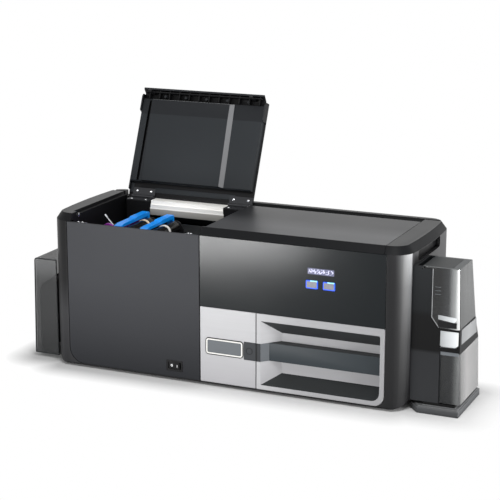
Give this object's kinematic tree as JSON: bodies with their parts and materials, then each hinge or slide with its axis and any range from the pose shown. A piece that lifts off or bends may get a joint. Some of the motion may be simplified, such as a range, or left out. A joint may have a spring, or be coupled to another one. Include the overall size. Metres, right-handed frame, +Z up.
{
  "type": "id card printer",
  "caption": "Desktop ID card printer with an in-line laminator under a raised lid, a card hopper at the right end and an output bin at the left end.",
  "frame": {"origin": "middle of the overall box at table height, with the laminator lid open as pictured", "axes": "+X along the machine from output bin to card hopper, +Y to the rear, +Z up"},
  "size_m": [0.717, 0.2608, 0.4175],
  "materials": {
    "graphite_plastic": "satin",
    "grey_plastic": "satin",
    "black_plastic": "satin",
    "gloss_black": "gloss",
    "silver_paint": "satin",
    "strip_grey": "satin",
    "steel": "brushed",
    "dark_steel": "satin",
    "pale_steel": "satin",
    "bright_steel": "polished",
    "rubber": "matte",
    "blue_plastic": "gloss",
    "purple_plastic": "gloss",
    "cream_film": "gloss",
    "white_film": "gloss",
    "ribbon_film": "gloss",
    "display_glass": "gloss",
    "board": "satin",
    "key_plastic": "satin",
    "smoke_plastic": "gloss",
    "pale_plastic": "satin"
  },
  "bodies": {
    "casing": {"base_tray": "black_plastic", "rubber_feet": "rubber", "left_end_shell": "grey_plastic", "right_end_shell": "grey_plastic", "rear_cover": "graphite_plastic", "laminator_front_panel": "graphite_plastic", "printer_front_panel": "gloss_black", "badge_tile": "silver_paint", "output_bezel": "silver_paint", "accent_bar": "strip_grey", "display_lens": "display_glass", "display_module": "board", "switch_frame": "black_plastic", "chassis_tray": "steel", "bay_divider": "black_plastic", "laminator_frame": "dark_steel", "printer_frame": "steel", "chassis_bar": "pale_steel", "hinge_mounts": "black_plastic", "hinge_lower_leaves": "dark_steel", "hinge_pins": "bright_steel", "lower_hinge_screws": "bright_steel", "cover_hinge_brackets": "black_plastic", "lid_catches": "steel", "power_inlet": "black_plastic", "data_ports": "steel", "printhead": "steel", "hopper_frame": "black_plastic", "hopper_base": "graphite_plastic", "feed_housing": "pale_plastic", "output_hopper": "smoke_plastic", "card_chute": "black_plastic"},
    "lid": {"lid_shell": "graphite_plastic", "lid_liner": "graphite_plastic", "hinge_upper_leaves": "dark_steel", "upper_hinge_screws": "bright_steel"},
    "top_cover": {"printer_cover": "grey_plastic"},
    "left_key": {"key_left": "key_plastic"},
    "right_key": {"key_right": "key_plastic"},
    "rocker": {"power_rocker": "black_plastic"},
    "cartridge_1": {"cartridge_frame_1": "black_plastic", "cartridge_handle_1": "blue_plastic"},
    "supply_1": {"supply_roll_1": "cream_film"},
    "takeup_1": {"takeup_spool_1": "purple_plastic"},
    "cartridge_2": {"cartridge_frame_2": "black_plastic", "cartridge_handle_2": "blue_plastic"},
    "supply_2": {"supply_roll_2": "white_film"},
    "takeup_2": {"takeup_spool_2": "white_film"},
    "heated": {"heated_roller": "rubber"},
    "pressure": {"pressure_roller": "rubber"},
    "platen": {"platen_roller": "rubber"},
    "feed": {"feed_roller": "rubber"},
    "ribbon_full": {"ribbon_supply": "ribbon_film"},
    "ribbon_used": {"ribbon_takeup": "ribbon_film"},
    "lever": {"release_lever": "steel"},
    "upper_door": {"upper_hopper_door": "smoke_plastic"},
    "lower_door": {"lower_hopper_door": "smoke_plastic"},
    "weight": {"card_weight": "pale_plastic"}
  },
  "joints": [
    {"name": "lid_hinge", "type": "hinge", "parent": "casing", "child": "lid", "pos_m": [-0.1595, 0.05702, 0.2448], "axis": [-1, 0, 0], "range_deg": [-113, 0]},
    {"name": "cover_hinge", "type": "hinge", "parent": "casing", "child": "top_cover", "pos_m": [0.0985, 0.05552, 0.241], "axis": [-1, 0, 0], "range_deg": [0, 95]},
    {"name": "left_key_press", "type": "slide", "parent": "casing", "child": "left_key", "axis": [0, 1, 0], "range_m": [0, 0.001], "stiffness_N_per_m": 300},
    {"name": "right_key_press", "type": "slide", "parent": "casing", "child": "right_key", "axis": [0, 1, 0], "range_m": [0, 0.001], "stiffness_N_per_m": 300},
    {"name": "rocker_swing", "type": "hinge", "parent": "casing", "child": "rocker", "pos_m": [-0.0935, -0.12298, 0.02475], "axis": [0, 0, 1], "range_deg": [0, 14]},
    {"name": "cartridge_1_lift", "type": "slide", "parent": "casing", "child": "cartridge_1", "axis": [0, 0, 1], "range_m": [0, 0.09]},
    {"name": "cartridge_2_lift", "type": "slide", "parent": "casing", "child": "cartridge_2", "axis": [0, 0, 1], "range_m": [0, 0.09]},
    {"name": "supply_1_spin", "type": "hinge", "parent": "cartridge_1", "child": "supply_1", "pos_m": [-0.2061, -0.02848, 0.2115], "axis": [0, 1, 0], "continuous": true},
    {"name": "takeup_1_spin", "type": "hinge", "parent": "cartridge_1", "child": "takeup_1", "pos_m": [-0.2289, -0.02848, 0.2115], "axis": [0, 1, 0], "continuous": true},
    {"name": "supply_2_spin", "type": "hinge", "parent": "cartridge_2", "child": "supply_2", "pos_m": [-0.1581, -0.03448, 0.2115], "axis": [0, 1, 0], "continuous": true},
    {"name": "takeup_2_spin", "type": "hinge", "parent": "cartridge_2", "child": "takeup_2", "pos_m": [-0.1809, -0.03448, 0.2115], "axis": [0, 1, 0], "continuous": true},
    {"name": "heated_roller_spin", "type": "hinge", "parent": "casing", "child": "heated", "pos_m": [-0.1935, -0.03848, 0.14615], "axis": [0, 1, 0], "continuous": true},
    {"name": "pressure_roller_spin", "type": "hinge", "parent": "casing", "child": "pressure", "pos_m": [-0.1935, -0.03848, 0.12185], "axis": [0, 1, 0], "continuous": true},
    {"name": "platen_roller_spin", "type": "hinge", "parent": "casing", "child": "platen", "pos_m": [0.1405, -0.03848, 0.1255], "axis": [0, 1, 0], "continuous": true},
    {"name": "feed_roller_spin", "type": "hinge", "parent": "casing", "child": "feed", "pos_m": [0.0105, -0.03848, 0.1255], "axis": [0, 1, 0], "continuous": true},
    {"name": "ribbon_supply_spin", "type": "hinge", "parent": "casing", "child": "ribbon_full", "pos_m": [0.1855, -0.03848, 0.174], "axis": [0, 1, 0], "continuous": true},
    {"name": "ribbon_takeup_spin", "type": "hinge", "parent": "casing", "child": "ribbon_used", "pos_m": [0.1005, -0.03848, 0.174], "axis": [0, 1, 0], "continuous": true},
    {"name": "release_lever_swing", "type": "hinge", "parent": "casing", "child": "lever", "pos_m": [-0.2445, -0.03848, 0.213], "axis": [0, 1, 0], "range_deg": [0, 43]},
    {"name": "upper_door_hinge", "type": "hinge", "parent": "casing", "child": "upper_door", "pos_m": [0.2965, -0.07148, 0.2186], "axis": [0, -1, 0], "range_deg": [0, 100]},
    {"name": "lower_door_hinge", "type": "hinge", "parent": "casing", "child": "lower_door", "pos_m": [0.3281, -0.10208, 0.056], "axis": [0, 0, -1], "range_deg": [0, 90]},
    {"name": "weight_lift", "type": "slide", "parent": "casing", "child": "weight", "axis": [0, 0, 1], "range_m": [0, 0.055]}
  ],
  "couplings": [
    {"joint": "pressure_roller_spin", "follows": "heated_roller_spin", "ratio": -1},
    {"joint": "feed_roller_spin", "follows": "platen_roller_spin", "ratio": 1}
  ]
}
